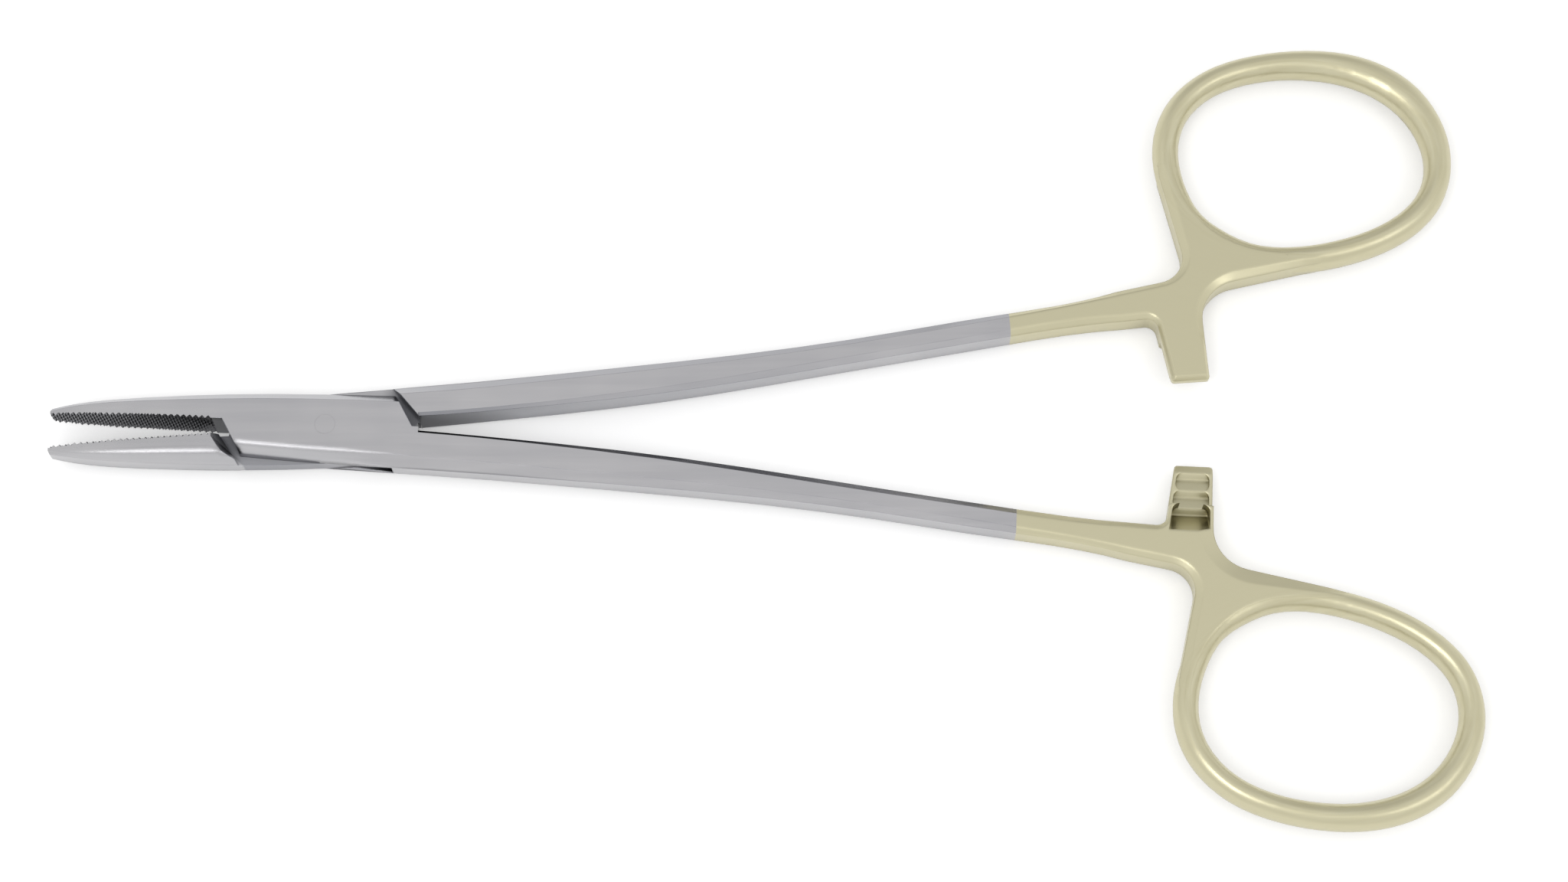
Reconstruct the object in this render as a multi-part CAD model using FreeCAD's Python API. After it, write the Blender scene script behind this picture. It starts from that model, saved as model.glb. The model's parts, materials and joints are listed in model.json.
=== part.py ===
import FreeCAD, Part
import math
import os

# A straight box-lock needle holder, 150 mm class, lying on its side.
# The pivot axis is Z through the origin, the jaws point along -X and the finger rings lie
# towards +X. Both halves are drawn closed, on the line y = 0, and are then swung apart.
# Heights are first measured from the mid-plane and lifted at the end, so the flat
# underside of the box lock lies on z = 0. All sizes are in millimetres.

V = FreeCAD.Vector
CENTRE = V(0, 0, 0)
ALONG = V(1, 0, 0)
UP = V(0, 0, 1)

# Opening: the angle between the halves as stored
OPEN_ANGLE = 6.6

# Lengths along the closed instrument, measured from the pivot
JAW_REACH = 29.1
INSERT_HEEL = 11.9
HANDLE_START = 84.0

# Thickness across the faces
BOX_THICK = 4.78
TIP_THICK = 2.0
HANDLE_THICK = 3.35

# Half widths of the closed outline
TIP_HALF_WIDTH = 0.84
BOX_HALF_WIDTH = 3.99
HANDLE_HALF_WIDTH = 9.76
TIP_RADIUS = 0.8
TIP_ROUND_CENTRE = 0.42

# Jaw faces: the gap on each side of the closing line, at the tips and at the heel
FACE_GAP_TIP = 0.03
FACE_GAP_HEEL = 0.09

# Carbide inserts, brazed into the jaws
INSERT_TIP_THICK = 0.45
INSERT_HEEL_THICK = 1.0
SERRATION_PITCH = 0.65
SERRATION_ROWS = 6
SERRATION_DEPTH = 0.28
SERRATION_LAND = 0.02

# Box lock: slot between the cheeks, tongue through it, riveted pin
SLOT_HEIGHT = 1.64
TONGUE_CLEARANCE = 0.04
TONGUE_END_GAP = 0.25
PIN_RADIUS = 0.9
PIN_HEAD_RADIUS = 1.06
PIN_HEAD_DEPTH = 0.35
PIN_FIT = 0.01
PIN_RUNNING_GAP = 0.03

# Corners of the cheeks, seen along Z on the closed box half
CHEEK_LEFT_TOP = (-10.8, 0.14)
CHEEK_LEFT_KNEE = (-9.2, -2.5)
CHEEK_LEFT_FOOT = (-8.55, -3.75)
CHEEK_RIGHT_FOOT = (9.05, 0.28)
CHEEK_RIGHT_TOP = (6.85, 4.0)

# Shoulders of the tongue half, where it returns to full thickness
JAW_SHOULDER_TOP = (-11.25, 0.05)
JAW_SHOULDER_FOOT = (-9.2, -3.6)
SHANK_SHOULDER_TOP = (7.05, 4.05)
SHANK_SHOULDER_FOOT = (9.85, 0.3)
SHOULDER_CHAMFER = 0.85

# End walls of the slot
SLOT_LEFT_FOOT = (-10.45, 0.1)
SLOT_LEFT_TOP = (-8.1, 4.05)
SLOT_RIGHT_TOP = (9.75, -0.1)
SLOT_RIGHT_FOOT = (7.14, -4.02)

# Shank inner edge at the box lock and at the handle, from the closing line
SHANK_GAP_START = 0.06
SHANK_GAP_END = 6.33
# The tongue half's shank is filed back on its inner side next to the box lock
TONGUE_FILED = 0.38
FILED_LENGTH = 28.0

# Bevels of the handle, across the face and down the side
HANDLE_BEVEL = 0.6
HANDLE_BEVEL_DEPTH = 0.45

# The handle's lengths are measured from where it starts, its heights from the closing line.
# Ratchet bar of the half whose shank lies towards +Y; its root lies a little to the left
RATCHET_LEFT = 4.85
RATCHET_WIDTH = 3.95
RATCHET_LEAN = 1.0
RATCHET_TIP = -0.75
RATCHET_ROOT = 6.5
RATCHET_BEVEL = 0.35
RATCHET_CORNER = 0.35
RATCHET_GAP = 0.05
RATCHET_FIRST = 0.15
RATCHET_PITCH = 1.97
RATCHET_TEETH = 2
RATCHET_DEPTH = 0.5
RATCHET_VALLEY = 0.33
RATCHET_RIM = 0.35
RATCHET_SCOOP = 0.75
RATCHET_RUNOUT_ANGLE = 44.0

# Web between shank, ratchet bar and ring: the height of its outer corner, the radii of its
# corners, and the bevels where the leg and the run meet the ring
WEB_OUTER_HEIGHT = 11.0
WEB_OUTER_RADIUS = 3.0
WEB_INNER_LEAN = 0.05
WEB_INNER_RADIUS = 4.4
WEB_ROOT_RADIUS = 1.2
WEB_LEG_BEVEL = 0.8
WEB_RUN_BEVEL = 0.7
# Bevel of each face at the inner corner and beside the ratchet: wide on the notched face.
# It narrows between two heights on the bar
PLAIN_FACE = {"corner": 1.1, "bar": 0.6}
NOTCHED_FACE = {"corner": 2.0, "bar": 1.5}
BAR_WIDE_HEIGHT = 4.4
BAR_NARROW_HEIGHT = 3.1
# The web follows the ring between two angles, and then its edges sink into the ring's bar
WEB_LEG_ANGLE = -172
WEB_RUN_ANGLE = -94
WEB_STEP = 6
WEB_FADE_STEPS = 3
WEB_FADE = 0.35
WEB_HOLE_EDGE = 0.75
WEB_SUNK = 0.2
LEAST_RADIUS = 0.02

# Finger rings: half axes of the hole, how egg-shaped and how square it is, height of the bar
RING_HALF_LENGTH = 13.38
RING_HALF_WIDTH = 10.09
RING_EGG = -0.09
RING_SQUARE = 0.018
RING_SQUARE_TURN = 10.7
RING_HEIGHT = 3.6
RING_STATIONS = 16
RING_POINTS = 12
# The bar swells towards its far corner and dips where it leaves the web
RING_FAR_CORNER = 48.0
RING_SEAM = -140.0
RING_DIP = 0.4
# Each ring is bent to shape by itself: centre, turn, bar width, swelling of the far corner,
# and its web's outer corner along the handle and inner corner from the closing line
TONGUE_RING = {"x": 21.53, "y": 23.98, "turn": -2.3, "bar": 2.8, "swell": 0.9,
               "outer": 7.85, "inner": 9.55}
BOX_RING = {"x": 20.74, "y": 24.88, "turn": 3.9, "bar": 2.62, "swell": 0.4,
            "outer": 7.4, "inner": 10.15}

# Cutting shapes reach past the whole body, past one face, or a little past an edge
PAST = 60.0
FACE_PAST = 2.0
EDGE_PAST = 1.0

# Two sides whose directions differ by less than this, in radians, run on in line
IN_LINE = 0.001


def jaw_x(share):
    """Place along the jaw: 0 at the pivot, 1 at the tip."""
    return -JAW_REACH * share


def shank_x(share):
    """Place along the shank: 0 at the pivot, 1 where the handle starts."""
    return HANDLE_START * share


# Sections of the closed outline: x, half width, thickness, bevel width, bevel depth
OUTLINE = [
    (jaw_x(1.0), TIP_HALF_WIDTH, TIP_THICK, 0.30, 0.35),
    (jaw_x(0.91), 1.45, 3.15, 0.45, 0.60),
    (jaw_x(0.784), 2.08, 3.95, 0.62, 0.95),
    (jaw_x(0.636), 2.60, 4.45, 0.80, 1.25),
    (jaw_x(0.416), 3.22, BOX_THICK, 1.00, 1.50),
    (jaw_x(0.086), 3.75, BOX_THICK, 1.05, 1.55),
    (shank_x(0.09), BOX_HALF_WIDTH, 4.55, 1.08, 1.38),
    (shank_x(0.167), 4.12, 3.97, 1.06, 1.05),
    (shank_x(0.262), 4.38, 3.72, 0.96, 0.88),
    (shank_x(0.405), 4.85, 3.60, 0.84, 0.70),
    (shank_x(0.548), 5.47, 3.50, 0.72, 0.56),
    (shank_x(0.69), 6.49, 3.42, 0.66, 0.49),
    (shank_x(0.833), 7.82, 3.37, 0.62, 0.46),
    (shank_x(1.0), HANDLE_HALF_WIDTH, HANDLE_THICK, HANDLE_BEVEL, HANDLE_BEVEL_DEPTH),
]

# Sections of the gap between the closed shanks: x, half gap, bevel width, bevel depth
SHANK_GAP = [
    (shank_x(0.116), SHANK_GAP_START, 0.30, 0.30),
    (shank_x(0.167), 0.18, 0.30, 0.30),
    (shank_x(0.262), 0.55, 0.36, 0.30),
    (shank_x(0.405), 1.32, 0.52, 0.40),
    (shank_x(0.548), 2.48, 0.62, 0.50),
    (shank_x(0.69), 3.86, 0.62, 0.47),
    (shank_x(0.833), 5.19, 0.60, 0.45),
    (shank_x(1.0), SHANK_GAP_END, HANDLE_BEVEL, HANDLE_BEVEL_DEPTH),
]


def polygon(points):
    """Closed wire through points."""
    return Part.makePolygon(points + [points[0]])


def prism(corners, low, high):
    """Plan polygon raised from one height to another."""
    face = Part.Face(polygon([V(x, y, low) for x, y in corners]))
    return face.extrude(V(0, 0, high - low))


def through(corners):
    """Plan polygon cut right through."""
    return prism(corners, -PAST, PAST)


def beyond(start, end, extra):
    """Point on the line from start to end, an extra length past the end."""
    length = math.dist(start, end)
    share = (length + extra) / length
    return (start[0] + (end[0] - start[0]) * share, start[1] + (end[1] - start[1]) * share)


def moved_in(start, end, gap):
    """The line from start to end, shifted sideways towards the pivot."""
    dx, dy = end[0] - start[0], end[1] - start[1]
    length = math.hypot(dx, dy)
    nx, ny = -dy / length, dx / length
    if nx * start[0] + ny * start[1] > 0:
        nx, ny = -nx, -ny
    return [(x + nx * gap, y + ny * gap) for x, y in (start, end)]


def turned_over(shape):
    """The same shape turned half round about the X axis."""
    copy = shape.copy()
    copy.rotate(CENTRE, ALONG, 180)
    return copy


# Closed outside of both halves


def outline_section(x, half_width, thick, bevel, depth):
    """Eight-sided section of the closed instrument."""
    top = thick / 2
    corner = [(half_width - bevel, top), (half_width, top - depth)]
    right = corner + [(y, -z) for y, z in reversed(corner)]
    around = right + [(-y, z) for y, z in reversed(right)]
    return polygon([V(x, y, z) for y, z in around])


def closed_body():
    """The outside of jaws, box lock and shanks when closed, with a round tip on each jaw."""
    body = Part.makeLoft([outline_section(*row) for row in OUTLINE], True, False)
    round_x = -JAW_REACH + TIP_RADIUS
    before = Part.makeBox(PAST, PAST, PAST, V(round_x - PAST, -PAST / 2, -PAST / 2))
    noses = [Part.makeCylinder(TIP_RADIUS, PAST, V(round_x, y, -PAST / 2), UP)
             for y in (TIP_ROUND_CENTRE, -TIP_ROUND_CENTRE)]
    slab = Part.makeBox(4 * PAST, PAST, BOX_THICK, V(-PAST, -PAST / 2, -BOX_THICK / 2))
    return body.cut(before.cut(noses)).common(slab)


def thickness_at(x):
    """Thickness of the closed body between the two nearest outline sections."""
    for (x0, _, t0, _, _), (x1, _, t1, _, _) in zip(OUTLINE, OUTLINE[1:]):
        if x0 <= x <= x1:
            return t0 + (t1 - t0) * (x - x0) / (x1 - x0)
    return HANDLE_THICK


def gap_section(x, half_gap, bevel, depth):
    """Section of the space on the inner side of the +Y shank, flared for the bevels."""
    top = thickness_at(x) / 2
    rise = top - depth
    high = top + FACE_PAST
    flare = half_gap + (high - rise) * bevel / depth
    side = [(flare, high), (half_gap, rise)]
    side = side + [(y, -z) for y, z in reversed(side)]
    return polygon([V(x, y, z) for y, z in side + [(-PAST, -high), (-PAST, high)]])


def shank_space(filed):
    """Everything on the inner side of the +Y shank; filed widens it next to the box lock."""
    sections = []
    for x, half_gap, bevel, depth in SHANK_GAP:
        share = max(0, 1 - (x - SHANK_GAP[0][0]) / FILED_LENGTH)
        sections.append(gap_section(x, half_gap + filed * share, bevel, depth))
    return Part.makeLoft(sections, True, False)


# Jaws and their inserts


def face_gap(x):
    """Distance of a jaw face from the closing line."""
    share = (x + JAW_REACH) / (JAW_REACH - INSERT_HEEL)
    return FACE_GAP_TIP + (FACE_GAP_HEEL - FACE_GAP_TIP) * share


def insert_space(side, past):
    """Seat of the carbide insert in the jaw on one side; past opens it beyond the face."""
    tip, heel = -JAW_REACH - FACE_PAST, -INSERT_HEEL
    slope = (INSERT_HEEL_THICK - INSERT_TIP_THICK) / (JAW_REACH - INSERT_HEEL)
    seat_tip = face_gap(tip) + INSERT_TIP_THICK - slope * FACE_PAST
    seat_heel = face_gap(heel) + INSERT_HEEL_THICK
    corners = [(tip, face_gap(tip) - past), (heel, face_gap(heel) - past),
               (heel, seat_heel), (tip, seat_tip)]
    return through([(x, side * y) for x, y in corners])


def serration_grooves():
    """Two crossing families of V grooves in the face of the +Y insert.

    They lean so that both families meet in the same notches at the full thickness of the jaw.
    """
    spread = SERRATION_ROWS * SERRATION_PITCH / 2
    turn = math.atan(spread / (BOX_THICK / 2))
    half = SERRATION_PITCH * math.cos(turn) / 2 - SERRATION_LAND
    length = JAW_REACH - INSERT_HEEL
    count = math.ceil((length + 2 * spread) / SERRATION_PITCH)
    profile = [V(-2 * half, -SERRATION_DEPTH, 0), V(0, SERRATION_DEPTH, 0),
               V(2 * half, -SERRATION_DEPTH, 0)]
    bar = Part.Face(polygon(profile)).extrude(V(0, 0, 2 * BOX_THICK))
    bar.translate(V(0, 0, -BOX_THICK))
    grooves = []
    for way in (1, -1):
        for index in range(count):
            groove = bar.copy()
            groove.rotate(CENTRE, V(0, 1, 0), way * math.degrees(turn))
            groove.translate(V(length + spread - (index + 0.5) * SERRATION_PITCH, 0, 0))
            grooves.append(groove)
    tool = Part.makeCompound(grooves)
    tilt = math.atan((FACE_GAP_HEEL - FACE_GAP_TIP) / length)
    tool.rotate(CENTRE, UP, math.degrees(tilt))
    tool.translate(V(-JAW_REACH, FACE_GAP_TIP, 0))
    return tool


def jaw_insert(body):
    """Carbide insert of the +Y jaw, with its cross-hatched face."""
    blank = body.common(insert_space(1, 0))
    return blank.cut(serration_grooves())


# Box lock


def rivet(grow, past):
    """Pin with a cone head at each face; grow and past make its hole."""
    top = BOX_THICK / 2
    shaft = PIN_RADIUS + grow
    head = PIN_HEAD_RADIUS + grow
    side = [V(0, 0, -top - past), V(head, 0, -top - past), V(head, 0, -top),
            V(shaft, 0, -top + PIN_HEAD_DEPTH), V(shaft, 0, top - PIN_HEAD_DEPTH),
            V(head, 0, top), V(head, 0, top + past), V(0, 0, top + past)]
    if past == 0:
        side = side[:1] + side[2:6] + side[7:]
    return Part.Face(polygon(side)).revolve(CENTRE, UP, 360)


def box_half(body):
    """Half with the slotted box: jaw towards +Y, shank towards -Y."""
    wide = 2 * BOX_HALF_WIDTH
    left = [(-PAST, face_gap(-PAST)), CHEEK_LEFT_TOP, CHEEK_LEFT_KNEE,
            beyond(CHEEK_LEFT_KNEE, CHEEK_LEFT_FOOT, EDGE_PAST),
            (CHEEK_LEFT_FOOT[0], -PAST), (-PAST, -PAST)]
    right = [CHEEK_RIGHT_FOOT, beyond(CHEEK_RIGHT_FOOT, CHEEK_RIGHT_TOP, EDGE_PAST),
             (CHEEK_RIGHT_TOP[0], PAST), (PAST, PAST), (PAST, CHEEK_RIGHT_FOOT[1])]
    slot = [SLOT_LEFT_FOOT, beyond(SLOT_LEFT_FOOT, SLOT_LEFT_TOP, EDGE_PAST), (0, wide),
            (2 * wide, wide), (2 * wide, SLOT_RIGHT_TOP[1]), SLOT_RIGHT_TOP,
            beyond(SLOT_RIGHT_TOP, SLOT_RIGHT_FOOT, EDGE_PAST), (0, -wide), (-2 * wide, -wide),
            (-2 * wide, -FACE_GAP_HEEL), (SLOT_LEFT_FOOT[0], -FACE_GAP_HEEL)]
    half = body.cut([through(left), through(right), turned_over(shank_space(0))])
    half = half.cut(prism(slot, -SLOT_HEIGHT / 2, SLOT_HEIGHT / 2))
    half = half.cut(insert_space(1, FACE_PAST))
    return half.cut(rivet(PIN_FIT, FACE_PAST))


def shoulder_chamfer(face):
    """Bevel along the jaw shoulder of the tongue half, on the face above or below."""
    top = BOX_THICK / 2
    start = beyond(JAW_SHOULDER_FOOT, JAW_SHOULDER_TOP, SHOULDER_CHAMFER)
    end = beyond(JAW_SHOULDER_TOP, JAW_SHOULDER_FOOT, SHOULDER_CHAMFER)
    outside = moved_in(start, end, -SHOULDER_CHAMFER - EDGE_PAST)[0]
    inside = moved_in(start, end, SHOULDER_CHAMFER)[0]
    low = top - SHOULDER_CHAMFER
    high = top + EDGE_PAST
    corners = [V(*start, face * low), V(*outside, face * high), V(*inside, face * high),
               V(*inside, face * low)]
    return Part.Face(polygon(corners)).extrude(V(end[0] - start[0], end[1] - start[1], 0))


def tongue_half(body):
    """Half with the tongue: jaw towards -Y, shank towards +Y."""
    wide = 2 * BOX_HALF_WIDTH
    left_foot, left_top = moved_in(SLOT_LEFT_FOOT, SLOT_LEFT_TOP, TONGUE_END_GAP)
    right_top, right_foot = moved_in(SLOT_RIGHT_TOP, SLOT_RIGHT_FOOT, TONGUE_END_GAP)
    above_jaw = [(-PAST, -face_gap(-PAST)), (left_foot[0], -face_gap(left_foot[0])), left_foot,
                 beyond(left_foot, left_top, EDGE_PAST), (left_top[0], PAST), (-PAST, PAST)]
    below_shank = [right_top, beyond(right_top, right_foot, EDGE_PAST), (right_foot[0], -PAST),
                   (PAST, -PAST), (PAST, right_top[1])]
    cheek_room = [beyond(JAW_SHOULDER_FOOT, JAW_SHOULDER_TOP, EDGE_PAST),
                  beyond(JAW_SHOULDER_TOP, JAW_SHOULDER_FOOT, 2 * EDGE_PAST),
                  (0, -wide), (2 * wide, -wide),
                  beyond(SHANK_SHOULDER_TOP, SHANK_SHOULDER_FOOT, EDGE_PAST),
                  beyond(SHANK_SHOULDER_FOOT, SHANK_SHOULDER_TOP, 2 * EDGE_PAST),
                  (0, wide), (JAW_SHOULDER_TOP[0] - EDGE_PAST, wide)]
    tongue_top = SLOT_HEIGHT / 2 - TONGUE_CLEARANCE
    half = body.cut([through(above_jaw), through(below_shank), shank_space(TONGUE_FILED)])
    half = half.cut([prism(cheek_room, tongue_top, PAST), prism(cheek_room, -PAST, -tongue_top)])
    half = half.cut([shoulder_chamfer(1), shoulder_chamfer(-1)])
    half = half.cut(insert_space(-1, FACE_PAST))
    hole = Part.makeCylinder(PIN_RADIUS + PIN_RUNNING_GAP, PAST, V(0, 0, -PAST / 2), UP)
    return half.cut(hole)


# Handle: web, ratchet bar and finger ring, for the half whose shank lies towards +Y


def rounded_outline(corners, z=0):
    """Plan wire through corners (x, y, radius), with an arc at each corner that has a radius."""
    points = [V(x, y, z) for x, y, _ in corners]
    ends = []
    for index, (_, _, radius) in enumerate(corners):
        here = points[index]
        back = (points[index - 1] - here).normalize()
        on = (points[(index + 1) % len(points)] - here).normalize()
        if radius == 0:
            ends.append((here, here, here))
            continue
        half_angle = back.getAngle(on) / 2
        reach = radius / math.tan(half_angle)
        middle = (back + on).normalize()
        top = here + middle * (radius / math.sin(half_angle) - radius)
        ends.append((here + back * reach, top, here + on * reach))
    edges = []
    for index, (start, top, end) in enumerate(ends):
        if corners[index][2] > 0:
            edges.append(Part.Arc(start, top, end).toShape())
        edges.append(Part.makeLine(end, ends[(index + 1) % len(ends)][0]))
    return Part.Wire(edges)


def inset(corners, bevels):
    """Corners moved inwards, with the radii to match.

    Each corner has two bevels, of the side before it and of the side after it, so that the
    bevel of a side may change from one end to the other.
    """
    count = len(corners)
    plan = [V(x, y, 0) for x, y, _ in corners]
    area = sum(plan[i - 1].x * plan[i].y - plan[i].x * plan[i - 1].y for i in range(count))
    inwards = V(0, 0, math.copysign(1, area))
    sides = []
    for index in range(count):
        start, end = plan[index], plan[(index + 1) % count]
        normal = inwards.cross(end - start).normalize()
        after, before = bevels[index][1], bevels[(index + 1) % count][0]
        sides.append((start + normal * after, end + normal * before))
    moved = []
    for index, (_, _, radius) in enumerate(corners):
        a, b = sides[index - 1]
        c, d = sides[index]
        along, other = b - a, d - c
        cross = along.cross(other).z
        if abs(cross) < IN_LINE * along.Length * other.Length:
            meeting = b
        else:
            meeting = a + along * ((c - a).cross(other).z / cross)
        grown = -inwards.z * math.copysign(1, cross) * sum(bevels[index]) / 2
        moved.append((meeting.x, meeting.y, max(radius + grown, LEAST_RADIUS) if radius else 0))
    return moved


def bevelled_plate(corners, low_bevels, high_bevels, thick, depth):
    """Plate with a straight side wall and a bevel along every side, above and below."""
    top = thick / 2
    wires = [rounded_outline(inset(corners, low_bevels), -top),
             rounded_outline(corners, depth - top),
             rounded_outline(corners, top - depth),
             rounded_outline(inset(corners, high_bevels), top)]
    return Part.makeLoft(wires, True, True)


def ring_point(ring, angle, out):
    """Point of the ring hole at an angle, moved outwards; the hole is egg-shaped."""
    t = math.radians(angle)
    square = 1 - RING_SQUARE * math.cos(4 * (t - math.radians(RING_SQUARE_TURN)))
    change = 4 * RING_SQUARE * math.sin(4 * (t - math.radians(RING_SQUARE_TURN)))
    x = RING_HALF_LENGTH * math.cos(t)
    y = RING_HALF_WIDTH * math.sin(t) * (1 + RING_EGG * math.cos(t))
    dx = -RING_HALF_LENGTH * math.sin(t) * square + x * change
    dy = RING_HALF_WIDTH * (math.cos(t) + RING_EGG * math.cos(2 * t)) * square + y * change
    normal = V(dy, -dx, 0).normalize()
    turn = FreeCAD.Rotation(UP, ring["turn"])
    centre = V(HANDLE_START + ring["x"], ring["y"], 0)
    return centre + turn.multVec(V(x, y, 0) * square + normal * out)


def finger_ring(ring):
    """Oval bar bent round the egg-shaped hole, thicker at its far outer corner."""
    sections = []
    for index in range(RING_STATIONS):
        angle = RING_SEAM + 360 * index / RING_STATIONS
        far = max(0, math.cos(math.radians(angle - RING_FAR_CORNER)))
        near = max(0, math.cos(math.radians(angle - RING_SEAM)))
        width = ring["bar"] + ring["swell"] * far ** 4
        height = RING_HEIGHT - RING_DIP * near ** 2
        inner = ring_point(ring, angle, 0)
        outer = ring_point(ring, angle, width)
        middle = (inner + outer) / 2
        side = (outer - inner) / 2
        points = []
        for step in range(RING_POINTS):
            around = 2 * math.pi * step / RING_POINTS
            points.append(middle + side * math.cos(around) + UP * (height / 2 * math.sin(around)))
        curve = Part.BSplineCurve()
        curve.interpolate(Points=points, PeriodicFlag=True)
        sections.append(Part.Wire(curve.toShape()))
    return Part.makeLoft(sections, True, False, True)


def sunk_edge(ring, start, way, bevel):
    """Corners along which an edge of the web sinks into the ring's bar, its bevel narrowing."""
    rows = []
    for step in range(WEB_FADE_STEPS + 1):
        share = step / WEB_FADE_STEPS
        out = ring["bar"] * (1 - WEB_FADE * share ** 2) - WEB_SUNK
        point = ring_point(ring, start + way * step * WEB_STEP, out)
        width = bevel + (RATCHET_BEVEL - bevel) * share
        rows.append((point.x, point.y, 0, width, width))
    return rows


def web_rows(ring, face):
    """Corners of the web: place, radius, and the bevels before and after on one face."""
    faded = WEB_FADE_STEPS * WEB_STEP
    steps = range(WEB_LEG_ANGLE - faded, WEB_RUN_ANGLE + faded + 1, WEB_STEP)
    hole_side = [ring_point(ring, angle, WEB_HOLE_EDGE) for angle in steps]
    start, end = (HANDLE_START, HANDLE_HALF_WIDTH), (HANDLE_START, SHANK_GAP_END)
    left = HANDLE_START + RATCHET_LEFT
    right = left + RATCHET_WIDTH
    root = (left - RATCHET_LEAN, RATCHET_ROOT)
    outer = (HANDLE_START + ring["outer"], WEB_OUTER_HEIGHT)
    outer_slope = math.atan2(outer[1] - start[1], outer[0] - start[0])
    inner_slope = math.atan2(root[1] - end[1], root[0] - end[0])
    outer_bevel = HANDLE_BEVEL * math.cos(outer_slope)
    inner_bevel = HANDLE_BEVEL * math.cos(inner_slope)
    wide_x = bar_edge(BAR_WIDE_HEIGHT, 0)[1]
    narrow_x = bar_edge(BAR_NARROW_HEIGHT, 0)[1]
    return [
        (*start, 0, 0, outer_bevel),
        (*outer, WEB_OUTER_RADIUS, outer_bevel, WEB_LEG_BEVEL),
        *sunk_edge(ring, WEB_LEG_ANGLE, -1, WEB_LEG_BEVEL),
        *[(point.x, point.y, 0, RATCHET_BEVEL, RATCHET_BEVEL) for point in hole_side],
        *reversed(sunk_edge(ring, WEB_RUN_ANGLE, 1, WEB_RUN_BEVEL)),
        (right - WEB_INNER_LEAN, ring["inner"], WEB_INNER_RADIUS, face["corner"], face["corner"]),
        (wide_x, BAR_WIDE_HEIGHT, 0, face["bar"], face["bar"]),
        (narrow_x, BAR_NARROW_HEIGHT, 0, RATCHET_BEVEL, RATCHET_BEVEL),
        (right, RATCHET_TIP, RATCHET_CORNER, RATCHET_BEVEL, RATCHET_BEVEL),
        (left, RATCHET_TIP, RATCHET_CORNER, RATCHET_BEVEL, RATCHET_BEVEL),
        (*root, WEB_ROOT_RADIUS, RATCHET_BEVEL, inner_bevel),
        (*end, 0, inner_bevel, 0)]


def web(ring):
    """Flat plate that joins shank, ring and ratchet bar, with bevelled edges."""
    notched, plain = web_rows(ring, NOTCHED_FACE), web_rows(ring, PLAIN_FACE)
    corners = [row[:3] for row in plain]
    low_bevels = [row[3:] for row in notched]
    high_bevels = [row[3:] for row in plain]
    return bevelled_plate(corners, low_bevels, high_bevels, HANDLE_THICK, HANDLE_BEVEL_DEPTH)


def side_prism(profile, left, right):
    """Profile (y, z) run from one x to another."""
    face = Part.Face(polygon([V(left, y, z) for y, z in profile]))
    return face.extrude(V(right - left, 0, 0))


def ratchet_cuts():
    """What is taken from the web plate to leave the toothed half of the ratchet bar."""
    low = RATCHET_GAP
    past = low - EDGE_PAST
    left = HANDLE_START + RATCHET_LEFT - RATCHET_LEAN - EDGE_PAST
    right = HANDLE_START + RATCHET_LEFT + RATCHET_WIDTH + EDGE_PAST
    crests = [RATCHET_FIRST + RATCHET_PITCH * index for index in range(RATCHET_TEETH + 1)]
    last = crests[-1]
    valley = RATCHET_PITCH * RATCHET_VALLEY
    face = -HANDLE_THICK / 2 - EDGE_PAST
    run = (low + RATCHET_DEPTH - face) / math.tan(math.radians(RATCHET_RUNOUT_ANGLE))
    bar = side_prism([(-PAST, low), (last, low), (last, face), (-PAST, face)], left, right)
    ramp = side_prism([(RATCHET_FIRST, low), (RATCHET_TIP, low + RATCHET_DEPTH),
                       (RATCHET_TIP - EDGE_PAST, low + RATCHET_DEPTH), (RATCHET_TIP - EDGE_PAST, past),
                       (RATCHET_FIRST, past)], left, right)
    runout = side_prism([(last, low), (last + valley, low + RATCHET_DEPTH),
                         (last + valley + run, face), (last, face)], left, right)
    cuts = [bar, ramp, scooped(runout, last, last + valley + run)]
    for crest in crests[:-1]:
        notch = side_prism([(crest, past), (crest, low), (crest + valley, low + RATCHET_DEPTH),
                            (crest + RATCHET_PITCH, low), (crest + RATCHET_PITCH, past)], left, right)
        cuts.append(scooped(notch, crest, crest + RATCHET_PITCH))
    return cuts


def bar_edge(y, rim):
    """Left and right limits of the ratchet bar at y, inside its rims."""
    share = (y - RATCHET_TIP) / (RATCHET_ROOT - RATCHET_TIP)
    left = HANDLE_START + RATCHET_LEFT
    return left - RATCHET_LEAN * share + rim, left + RATCHET_WIDTH - WEB_INNER_LEAN * share - rim


def scooped(cut, start, end):
    """A cut across the ratchet bar, kept inside its rims with round ends."""
    low_left, low_right = bar_edge(start, RATCHET_RIM)
    high_left, high_right = bar_edge(end, RATCHET_RIM)
    corners = [(low_left, start, RATCHET_SCOOP), (low_right, start, RATCHET_SCOOP),
               (high_right, end, RATCHET_SCOOP), (high_left, end, RATCHET_SCOOP)]
    plan = Part.Face(rounded_outline(corners, -PAST)).extrude(V(0, 0, 2 * PAST))
    return cut.common(plan)


def handle(ring):
    """Handle of the tongue half: web and ratchet bar, with the finger ring."""
    return web(ring).cut(ratchet_cuts()).fuse(finger_ring(ring))


# Assembly


def placed(shape, side):
    """Swing a closed half open about the pivot and lift it off the ground plane."""
    copy = shape.copy()
    copy.rotate(CENTRE, UP, side * OPEN_ANGLE / 2)
    copy.translate(V(0, 0, BOX_THICK / 2))
    return copy


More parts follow.
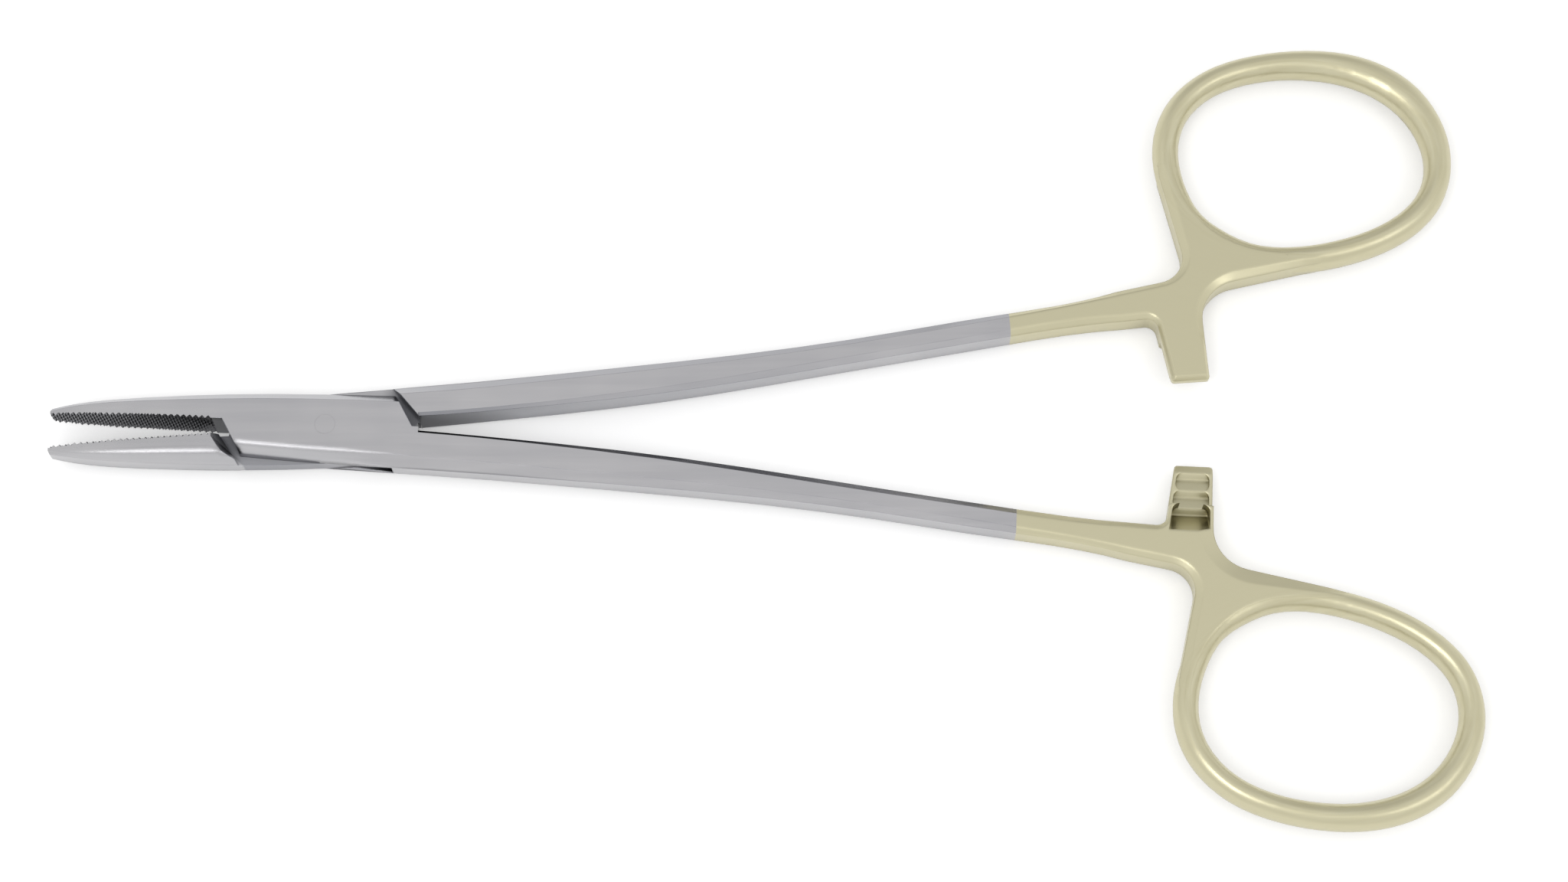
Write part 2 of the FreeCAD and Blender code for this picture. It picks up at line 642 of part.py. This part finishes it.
def main():
    os.makedirs("parts", exist_ok=True)
    body = closed_body()
    insert = jaw_insert(body)
    nodes = {
        "box_half": placed(box_half(body).fuse(turned_over(handle(BOX_RING))), -1),
        "tongue_half": placed(tongue_half(body).fuse(handle(TONGUE_RING)), 1),
        "upper_jaw_insert": placed(insert, -1),
        "lower_jaw_insert": placed(turned_over(insert), 1),
        "pivot_pin": placed(rivet(0, 0), 0),
    }
    for name, shape in nodes.items():
        shape.exportStep("parts/" + name + ".step")


main()
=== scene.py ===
import json
import math

import bpy
from mathutils import Matrix, Vector

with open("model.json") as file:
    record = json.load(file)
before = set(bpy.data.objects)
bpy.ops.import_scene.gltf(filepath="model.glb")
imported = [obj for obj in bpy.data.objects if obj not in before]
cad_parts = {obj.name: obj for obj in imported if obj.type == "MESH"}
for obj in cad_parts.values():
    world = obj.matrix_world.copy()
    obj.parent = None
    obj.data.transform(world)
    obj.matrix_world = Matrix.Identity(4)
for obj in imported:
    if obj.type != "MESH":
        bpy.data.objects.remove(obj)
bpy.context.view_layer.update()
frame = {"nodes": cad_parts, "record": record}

MM = 0.001

# How the stored pose relates to the closed instrument
HALF_ANGLE = math.radians(3.3)
SIDES = {"box_half": -1, "tongue_half": 1}
RINGS = {"box_half": "box_finger_ring", "tongue_half": "tongue_finger_ring"}

# Directions that the faces of a piece are told by
UPWARDS = (0, 0, 1)
UP_AND_BACK = (0, 0.71, 0.71)

# Places are measured from the pivot, along each closed half unless they are a side or a height.
# Where a look changes, two values are the start and end of the change, and two more are what it
# goes from and to

# Where the gold plating of the handles starts
GOLD_START = (72.3 * MM, 72.4 * MM)

# The front creases of the jaws and the box lock are polished wide and soft, less so at the tip
WIDE_CREASE = 0.85 * MM
TIP_CREASE = 0.3 * MM
TIP_RANGE = (-29 * MM, -19 * MM)
BOX_END = (2 * MM, 9 * MM)

# The other creases stay narrow, less so on the gold
NARROW_CREASE = 0.05 * MM
GOLD_CREASE = 0.4 * MM

# Creases also get thin painted dark lines, a painted reflection broken up by noise, less on the
# gold
LINE_REACH = 0.16 * MM
LINE_FADE = (0.36, 0.6, 0.2, 0.85)
LINE_ON_GOLD = 0.5

# A crease is told by the cosine of the angle between the plain and the rounded surface
CREASE_RANGE = (0.99, 0.93)

# The lower jaw's heel and the start of the filed side slant: found by the sum of both places
JAW_HEEL = (-13.6 * MM, -12.8 * MM)
FILED_START = (-12.35 * MM, -12.15 * MM)

# The filed side of the tongue, below the box, gets painted shade in its colour and is rougher
# than the rest
FILED_END = (-1 * MM, 5 * MM)
FILED_SIDE = (0.2 * MM, -0.2 * MM)
FILED_SHADE_SHARE = 0.55
FILED_ROUGHER = 0.25

# Steep walls of the open mouth beside the inserts' heels, and the recess behind the box, get
# painted shade
MOUTH_START = (-12.2 * MM, -11.9 * MM)
MOUTH_END = (-9.0 * MM, -8.6 * MM)
MOUTH_SIDE = (1.9 * MM, 2.1 * MM)
STEEP_FACING = (0.75, 0.5)
RECESS_START = (5.8 * MM, 8.8 * MM)
RECESS_HEIGHT = (3.5 * MM, 3.3 * MM)
DARK_SHARE = 0.75

# Inner walls of the shanks get painted shade near the lock
WALL_FACING = (0.55, 0.68)
WALL_END = (12 * MM, 60 * MM)
WALL_SHARE = 0.75

# Steel bevels that look up and back get a little painted shade too
BACK_FACING = (0.85, 0.97, 0.0, 0.4)

# Line half way between an insert's seat and the jaw's outer crease: side at the pivot, slope
MIDDLE_OF_JAW = 1.9 * MM
MIDDLE_SLOPE = 0.042
MIDDLE_SOFT = 0.12 * MM

# The insert's seam is ground flush, so no crease is left inside that line ahead of the heel
INSERT_HEEL = (-11.4 * MM, -11.9 * MM)

# The rivet is ground flush, so no crease is left within this distance of the pivot
RIVET_FLUSH = (1.2 * MM, 1.6 * MM)

# Half axes of the middle line of a finger ring, for the polishing marks that run round it
RING_LONG = 14.8 * MM
RING_WIDE = 11.4 * MM

# The marks fade on the web, past this share of the half axes
MARKS_FADE = (0.98, 1.12, 1.0, 0.05)

# The marks: noise scale and detail, stretch across the ring and round it, tone, relief
MARKS = (1.0, 3)
MARKS_STRETCH = (34, 2.2, 2.2)
MARKS_TONE = (0.35, 0.68)
MARKS_HEIGHT = 0.05 * MM
MARKS_STRENGTH = 0.3

# Noise scale per metre and detail of brushed grain, clouds, breaks in the painted crease lines,
# waves and specks
GRAIN = (1000, 3)
CLOUDS = (110, 2)
LINE_FADE_NOISE = (260, 3)
WAVES = (240, 2)
SPECKS = (6000, 4)

# The grain is drawn out along each half
GRAIN_STRETCH = (0.05, 1, 1)

# What these patterns do to tone and roughness, and how much rougher the gold is
GRAIN_TONE = (0.25, 0.75, 0.22, 0.0)
GRAIN_ROUGHNESS = (0.3, 0.7, 0.15, 0.23)
CLOUD_TONE = (0.3, 0.7)
SPECK_TONE = (0.4, 0.7)
SPECK_ROUGHNESS = (0.3, 0.7, 0.2, 0.34)
GOLD_ROUGHER = 0.14

# Their relief: height and strength
GRAIN_RELIEF = (0.004 * MM, 0.2)
WAVE_RELIEF = (0.03 * MM, 0.2)
SPECK_HEIGHT = 0.01 * MM
SPECK_STRENGTH = 0.4

# The hatched face of an insert looks to the other jaw
HATCHED_FACING = (0.28, 0.42)

# How far the painted shade of narrow gaps and notches reaches, and its openness from rim to
# bottom
CAVITY_REACH = 3.5 * MM
CAVITY_RANGE = (0.85, 0.25)

# How often the surroundings of a point are sampled for creases and cavities
NEAR_SAMPLES = 8

# Camera: aim point, distance, tilt from straight above and turn of the object in the picture
PIVOT_TO_AIM = Vector((47.88 * MM, -1.04 * MM, 0))
MID_HEIGHT = 2.39 * MM
CAMERA_DISTANCE = 350 * MM
CAMERA_TILT = math.radians(19.5)
OBJECT_TURN = math.radians(0.5)

# Lens and sensor in millimetres, and the nearest distance that is seen
LENS = 76.66
SENSOR_WIDTH = 36
NEAR_LIMIT = 10 * MM

# Studio: the sky as light and as it is seen, its dimmer side behind the object, and the floor
SKY_LEVEL = 0.75
SEEN_LEVEL = 1.0
DIM_SIDE = (0, 0.866, 0.5)
DIM_RANGE = (0.74, 0.97)
DIM_LEVEL = 0.74
FLOOR_SIZE = 4
FLOOR_GLOW = 0.36

# Soft boxes: name, place from the aim point in metres, power in watts; width and height in metres
SOFT_BOXES = (("left_box", (-0.29, -0.36, 0.77), 1.3), ("right_box", (0.49, -0.28, 0.72), 0.42))
SOFT_BOX_SIZE = (0.3, 0.36)

# Colours, as linear light
STEEL = (0.488, 0.483, 0.493)
STEEL_SOFT = (0.447, 0.444, 0.457)
# The darker steel tone: real brushed grain, and also painted shade on the filed side, the inner
# walls, the bevels turned up and back, and the crease lines
STEEL_GRAIN_AND_SHADE = (0.235, 0.24, 0.265)
STEEL_DEEP = (0.07, 0.072, 0.08)
GOLD = (0.6, 0.568, 0.4)
GOLD_SOFT = (0.54, 0.504, 0.338)
# Gold tone of the painted dark reflection lines along the creases
GOLD_LINE_SHADE = (0.34, 0.315, 0.195)
GOLD_DEEP = (0.22, 0.2, 0.115)
CARBIDE = (0.12, 0.122, 0.13)
CARBIDE_LIGHT = (0.26, 0.26, 0.27)
FLOOR = (0.9, 0.9, 0.9)


class Nodes:
    """A node tree, emptied, with short calls to add and join nodes."""

    def __init__(self, tree):
        self.tree = tree
        self.tree.nodes.clear()
        self.coordinates = self.add("ShaderNodeTexCoord")

    def add(self, kind, **values):
        node = self.tree.nodes.new(kind)
        for key, value in values.items():
            setattr(node, key, value)
        return node

    def join(self, start, end):
        self.tree.links.new(start, end)

    def put(self, socket, value):
        if isinstance(value, bpy.types.NodeSocket):
            self.join(value, socket)
        else:
            socket.default_value = value

    def math(self, operation, *values):
        node = self.add("ShaderNodeMath", operation=operation)
        for socket, value in zip(node.inputs, values):
            self.put(socket, value)
        return node.outputs[0]

    def times(self, first, *others):
        """Product of two or more values."""
        for other in others:
            first = self.math("MULTIPLY", first, other)
        return first

    def opposite(self, share):
        """1 minus a share."""
        return self.math("SUBTRACT", 1.0, share)

    def dot(self, first, second):
        node = self.add("ShaderNodeVectorMath", operation="DOT_PRODUCT")
        self.put(node.inputs[0], first)
        self.put(node.inputs[1], second)
        return node.outputs["Value"]

    def spread(self, value, low, high, low_to=0.0, high_to=1.0, smooth="LINEAR"):
        """Map a value from one range to another, without going past the ends."""
        node = self.add("ShaderNodeMapRange", interpolation_type=smooth)
        for name, part in (("Value", value), ("From Min", low), ("From Max", high),
                           ("To Min", low_to), ("To Max", high_to)):
            self.put(node.inputs[name], part)
        return node.outputs["Result"]

    def before(self, value, low, high):
        """1 before a change and 0 after it."""
        return self.spread(value, low, high, 1.0, 0.0)

    def seen_directly(self):
        """1 for what the camera, a reflection or a clear surface shows, otherwise 0."""
        path = self.add("ShaderNodeLightPath")
        seen = path.outputs["Is Camera Ray"]
        for name in ("Is Glossy Ray", "Is Transmission Ray"):
            seen = self.math("MAXIMUM", seen, path.outputs[name])
        return seen


class Shader(Nodes):
    """A node material."""

    def __init__(self, name):
        self.material = bpy.data.materials.new(name)
        self.material.use_nodes = True
        super().__init__(self.material.node_tree)
        self.out = self.add("ShaderNodeOutputMaterial")

    def place(self):
        return self.coordinates.outputs["Object"]

    def along(self, direction):
        """Distance of the shaded point along a direction, in metres."""
        return self.dot(self.place(), direction)

    def facing(self, direction):
        """How far the surface faces a direction of the piece, from -1 to 1."""
        return self.dot(self.coordinates.outputs["Normal"], direction)

    def from_pivot(self):
        """Distance of the shaded point from the pivot's axis."""
        flat = self.add("ShaderNodeVectorMath", operation="MULTIPLY")
        self.join(self.place(), flat.inputs[0])
        flat.inputs[1].default_value = (1, 1, 0)
        reach = self.add("ShaderNodeVectorMath", operation="LENGTH")
        self.join(flat.outputs["Vector"], reach.inputs[0])
        return reach.outputs["Value"]

    def noise(self, scale, detail, stretch=(1, 1, 1), turn=0.0, at=None):
        shift = self.add("ShaderNodeMapping")
        shift.inputs["Rotation"].default_value = (0, 0, turn)
        shift.inputs["Scale"].default_value = stretch
        self.join(at or self.place(), shift.inputs["Vector"])
        node = self.add("ShaderNodeTexNoise")
        node.inputs["Scale"].default_value = scale
        node.inputs["Detail"].default_value = detail
        self.join(shift.outputs["Vector"], node.inputs["Vector"])
        return node.outputs["Fac"]

    def grain(self, turn=0.0):
        """Fine brushed lines that run along a piece, or along a half turned so far."""
        return self.noise(*GRAIN, GRAIN_STRETCH, turn)

    def mix(self, share, first, second):
        node = self.add("ShaderNodeMix", data_type="RGBA")
        self.put(node.inputs["Factor"], share)
        for name, colour in (("A", first), ("B", second)):
            socket = [s for s in node.inputs if s.name == name and s.type == "RGBA"][0]
            self.put(socket, (*colour, 1) if isinstance(colour, tuple) else colour)
        return [s for s in node.outputs if s.type == "RGBA"][0]

    def bump(self, height, distance, strength, normal=None):
        node = self.add("ShaderNodeBump")
        node.inputs["Distance"].default_value = distance
        self.put(node.inputs["Strength"], strength)
        self.join(height, node.inputs["Height"])
        if normal is not None:
            self.join(normal, node.inputs["Normal"])
        return node.outputs["Normal"]

    def rounded(self, radius):
        """Normal of the surface as if its creases were rounded."""
        node = self.add("ShaderNodeBevel", samples=NEAR_SAMPLES)
        self.put(node.inputs["Radius"], radius)
        return node.outputs["Normal"]

    def crease(self, rounded):
        """0 on an even surface, rising to 1 on a crease."""
        even = self.dot(rounded, self.add("ShaderNodeNewGeometry").outputs["Normal"])
        return self.spread(even, *CREASE_RANGE)

    def cavity(self):
        """Share of painted shade: 0 in the open, rising to 1 deep in a gap or notch."""
        node = self.add("ShaderNodeAmbientOcclusion", samples=NEAR_SAMPLES)
        node.inputs["Distance"].default_value = CAVITY_REACH
        return self.spread(node.outputs["AO"], *CAVITY_RANGE)

    def metal(self, colour, roughness, normal):
        node = self.add("ShaderNodeBsdfPrincipled")
        node.inputs["Metallic"].default_value = 1.0
        self.put(node.inputs["Base Color"], colour)
        self.put(node.inputs["Roughness"], roughness)
        self.join(normal, node.inputs["Normal"])
        self.join(node.outputs["BSDF"], self.out.inputs["Surface"])


def closed_axes(side):
    """Directions along and across the closed half, as it lies in the stored pose."""
    turn = side * HALF_ANGLE
    return (math.cos(turn), math.sin(turn), 0), (-math.sin(turn), math.cos(turn), 0)


def ring_centre(node):
    """Middle of the finger ring's opening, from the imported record."""
    openings = {box["name"]: box for box in frame["record"]["physics"]["openings"]}
    low, high = openings[RINGS[node]]["box_m"]
    return (low[0] + high[0]) / 2, (low[1] + high[1]) / 2


def ring_marks(shader, centre):
    """Fine polishing marks that run round a finger ring, and how much of them is left."""
    x = shader.math("SUBTRACT", shader.along((1, 0, 0)), centre[0])
    y = shader.math("SUBTRACT", shader.along((0, 1, 0)), centre[1])
    x = shader.math("DIVIDE", x, RING_LONG)
    y = shader.math("DIVIDE", y, RING_WIDE)
    away = shader.math("SQRT", shader.math("ADD", shader.times(x, x), shader.times(y, y)))
    angle = shader.math("ARCTAN2", y, x)
    spot = shader.add("ShaderNodeCombineXYZ")
    shader.join(away, spot.inputs["X"])
    shader.join(shader.math("SINE", angle), spot.inputs["Y"])
    shader.join(shader.math("COSINE", angle), spot.inputs["Z"])
    marks = shader.noise(*MARKS, MARKS_STRETCH, at=spot.outputs["Vector"])
    return marks, shader.spread(away, *MARKS_FADE)


def crease_zones(shader, along, aside, heel):
    """Where creases are wide and soft, and 0 where a seam is ground flush, otherwise 1."""
    middle = shader.math("ADD", shader.times(along, MIDDLE_SLOPE), MIDDLE_OF_JAW)
    off = shader.math("SUBTRACT", shader.math("ABSOLUTE", aside), middle)
    outer = shader.spread(off, -MIDDLE_SOFT, MIDDLE_SOFT)
    front = shader.spread(aside, MIDDLE_SOFT, -MIDDLE_SOFT)
    wide = shader.times(shader.before(along, *BOX_END), front, outer, heel)
    seat = shader.times(shader.spread(along, *INSERT_HEEL), shader.opposite(outer))
    off_rivet = shader.spread(shader.from_pivot(), *RIVET_FLUSH)
    return wide, shader.times(shader.opposite(seat), off_rivet)


def mouth_and_recess_shade(shader, along, aside):
    """Share of painted shade inside the mouth, beside the heels, and in the recess."""
    steep = shader.spread(shader.facing(UPWARDS), *STEEP_FACING)
    inside = shader.before(shader.math("ABSOLUTE", aside), *MOUTH_SIDE)
    mouth = shader.times(shader.spread(along, *MOUTH_START), shader.before(along, *MOUTH_END),
                         inside, steep)
    low = shader.spread(shader.along(UPWARDS), *RECESS_HEIGHT)
    recess = shader.times(shader.spread(along, *RECESS_START), low,
                          shader.before(along, *WALL_END), shader.opposite(steep))
    return shader.times(shader.math("MAXIMUM", mouth, recess), DARK_SHARE)


def wall_and_back_shade(shader, along, gold, across, side):
    """Share of painted shade on inner walls near the lock and on bevels turned up and back."""
    inwards = [-side * part for part in across]
    wall = shader.times(shader.spread(shader.facing(inwards), *WALL_FACING),
                        shader.before(along, *WALL_END), shader.spread(along, *RECESS_START),
                        WALL_SHARE)
    back = shader.spread(shader.facing(UP_AND_BACK), *BACK_FACING)
    return shader.math("MAXIMUM", wall, shader.times(back, shader.opposite(gold)))


def filed_zone(shader, along, aside, slanted):
    """1 on the tongue's filed side, below the box, otherwise 0."""
    return shader.times(shader.spread(slanted, *FILED_START), shader.before(along, *FILED_END),
                        shader.spread(aside, *FILED_SIDE))


def steel_colour(shader, grain):
    soft = shader.mix(shader.spread(shader.noise(*CLOUDS), *CLOUD_TONE), STEEL_SOFT, STEEL)
    return shader.mix(shader.spread(grain, *GRAIN_TONE), soft, STEEL_GRAIN_AND_SHADE)


def gold_colour(shader, marks, marked):
    """Gold between two tones, and evenly half way where no marks are left."""
    share = shader.math("SUBTRACT", shader.spread(marks, *MARKS_TONE), 0.5)
    share = shader.math("ADD", shader.times(share, marked), 0.5)
    return shader.mix(share, GOLD_SOFT, GOLD)


def polished(node, side):
    """Polished steel with pale gold plating on the handle, for the half swung to one side."""
    shader = Shader("polished_" + node)
    ahead, across = closed_axes(side)
    along = shader.along(ahead)
    aside = shader.along(across)
    slanted = shader.math("ADD", along, aside)
    gold = shader.spread(along, *GOLD_START)
    grain = shader.grain(-side * HALF_ANGLE)
    marks, marked = ring_marks(shader, ring_centre(node))
    heel = 1.0
    filed = 0.0
    if node == "tongue_half":
        heel = shader.before(slanted, *JAW_HEEL)
        filed = filed_zone(shader, along, aside, slanted)

    wide, creased = crease_zones(shader, along, aside, heel)
    soft = shader.spread(along, *TIP_RANGE, TIP_CREASE, WIDE_CREASE)
    narrow = shader.spread(gold, 0, 1, NARROW_CREASE, GOLD_CREASE)
    rounded = shader.rounded(shader.times(shader.spread(wide, 0, 1, narrow, soft), creased))

    # Painted dark reflection: a thin dark line along each crease, broken up by noise
    crease_fade = shader.spread(shader.noise(*LINE_FADE_NOISE), *LINE_FADE)
    line = shader.crease(shader.rounded(shader.times(creased, LINE_REACH)))
    line = shader.times(line, crease_fade, creased, shader.opposite(wide),
                        shader.spread(gold, 0, 1, 1.0, LINE_ON_GOLD))

    colour = shader.mix(gold, steel_colour(shader, grain), gold_colour(shader, marks, marked))
    # Painted shade: the filed side below the box is coloured darker
    colour = shader.mix(shader.times(filed, FILED_SHADE_SHARE), colour, STEEL_GRAIN_AND_SHADE)
    # Painted shade on the inner walls near the lock and on bevels turned up and back
    colour = shader.mix(wall_and_back_shade(shader, along, gold, across, side), colour, STEEL_GRAIN_AND_SHADE)
    # Painted shade inside the mouth and in the recess behind the box
    colour = shader.mix(mouth_and_recess_shade(shader, along, aside), colour, STEEL_DEEP)
    # Painted dark reflection along the creases
    colour = shader.mix(line, colour, shader.mix(gold, STEEL_GRAIN_AND_SHADE, GOLD_LINE_SHADE))
    # Painted shade deep in gaps and notches
    colour = shader.mix(shader.cavity(), colour, shader.mix(gold, STEEL_DEEP, GOLD_DEEP))

    roughness = shader.spread(grain, *GRAIN_ROUGHNESS)
    roughness = shader.math("ADD", roughness, shader.times(gold, GOLD_ROUGHER))
    roughness = shader.math("ADD", roughness, shader.times(filed, FILED_ROUGHER))
    normal = shader.bump(grain, *GRAIN_RELIEF, rounded)
    normal = shader.bump(marks, MARKS_HEIGHT, shader.times(gold, marked, MARKS_STRENGTH), normal)
    normal = shader.bump(shader.noise(*WAVES), *WAVE_RELIEF, normal)
    shader.metal(colour, roughness, normal)
    return shader.material


def rivet_steel():
    """The rivet's steel, ground and polished together with the box."""
    shader = Shader("rivet_steel")
    grain = shader.grain()
    roughness = shader.spread(grain, *GRAIN_ROUGHNESS)
    shader.metal(steel_colour(shader, grain), roughness, shader.bump(grain, *GRAIN_RELIEF))
    return shader.material


def carbide(jaw, side):
    """Sintered carbide: dark on the cross-hatched face, ground bright with the jaw elsewhere."""
    shader = Shader("carbide_" + jaw)
    speck = shader.noise(*SPECKS)
    inwards = [-side * part for part in closed_axes(-side)[1]]
    hatched = shader.spread(shader.facing(inwards), *HATCHED_FACING)
    dark = shader.mix(shader.spread(speck, *SPECK_TONE), CARBIDE, CARBIDE_LIGHT)
    bright = steel_colour(shader, shader.grain(side * HALF_ANGLE))
    colour = shader.mix(hatched, bright, dark)
    roughness = shader.spread(speck, *SPECK_ROUGHNESS)
    normal = shader.bump(speck, SPECK_HEIGHT, shader.times(hatched, SPECK_STRENGTH))
    shader.metal(colour, roughness, normal)
    return shader.material


def dress(node, material):
    """Give a solid of the frame its material."""
    piece = frame["nodes"][node]
    piece.data.materials.clear()
    piece.data.materials.append(material)


def floor_material():
    """White paper that keeps the object's soft shadow."""
    shader = Shader("floor")
    base = shader.add("ShaderNodeBsdfDiffuse")
    base.inputs["Color"].default_value = (*FLOOR, 1)
    glow = shader.add("ShaderNodeEmission")
    shader.join(shader.times(shader.seen_directly(), FLOOR_GLOW), glow.inputs["Strength"])
    both = shader.add("ShaderNodeAddShader")
    shader.join(base.outputs[0], both.inputs[0])
    shader.join(glow.outputs[0], both.inputs[1])
    shader.join(both.outputs[0], shader.out.inputs["Surface"])
    return shader.material


def make_floor():
    bpy.ops.mesh.primitive_plane_add(size=FLOOR_SIZE, location=(0, 0, 0))
    floor = bpy.context.object
    floor.name = "floor"
    floor.data.materials.append(floor_material())


def make_world():
    """Even white studio, softly dimmer on the side behind the object."""
    world = bpy.data.worlds.new("studio")
    bpy.context.scene.world = world
    world.use_nodes = True
    sky = Nodes(world.node_tree)
    back = sky.add("ShaderNodeBackground")
    back.inputs["Color"].default_value = (1, 1, 1, 1)
    level = sky.spread(sky.seen_directly(), 0, 1, SKY_LEVEL, SEEN_LEVEL)
    towards = sky.dot(sky.coordinates.outputs["Generated"], DIM_SIDE)
    dim = sky.spread(towards, *DIM_RANGE, 1.0, DIM_LEVEL, "SMOOTHSTEP")
    sky.join(sky.times(level, dim), back.inputs["Strength"])
    sky.join(back.outputs[0], sky.add("ShaderNodeOutputWorld").inputs["Surface"])


def area_light(name, place, target, width, height, power):
    """A rectangular lamp that faces a target."""
    data = bpy.data.lights.new(name, "AREA")
    data.shape = "RECTANGLE"
    data.size = width
    data.size_y = height
    data.energy = power
    light = bpy.data.objects.new(name, data)
    bpy.context.scene.collection.objects.link(light)
    light.location = place
    light.rotation_euler = (target - light.location).to_track_quat("-Z", "Y").to_euler()


def make_lights(aim_point):
    """Two soft boxes above the front of the object, with a gap between them."""
    for name, place, power in SOFT_BOXES:
        area_light(name, aim_point + Vector(place), aim_point, *SOFT_BOX_SIZE, power)


def make_camera(aim_point):
    data = bpy.data.cameras.new("camera")
    data.lens = LENS
    data.sensor_width = SENSOR_WIDTH
    data.clip_start = NEAR_LIMIT
    camera = bpy.data.objects.new("camera", data)
    bpy.context.scene.collection.objects.link(camera)
    away = Vector((math.sin(OBJECT_TURN), math.cos(OBJECT_TURN), 0))
    right = Vector((math.cos(OBJECT_TURN), -math.sin(OBJECT_TURN), 0))
    back = Vector((0, 0, 1)) * math.cos(CAMERA_TILT) - away * math.sin(CAMERA_TILT)
    up = back.cross(right)
    turn = Matrix((right, up, back)).transposed().to_4x4()
    camera.matrix_world = Matrix.Translation(aim_point + back * CAMERA_DISTANCE) @ turn
    bpy.context.scene.camera = camera


for node, side in SIDES.items():
    dress(node, polished(node, side))
dress("pivot_pin", rivet_steel())
dress("upper_jaw_insert", carbide("upper", 1))
dress("lower_jaw_insert", carbide("lower", -1))

aim_point = Matrix.Rotation(-OBJECT_TURN, 3, "Z") @ PIVOT_TO_AIM + Vector((0, 0, MID_HEIGHT))
make_floor()
make_world()
make_lights(aim_point)
make_camera(aim_point)
bpy.context.scene.view_settings.view_transform = "Standard"
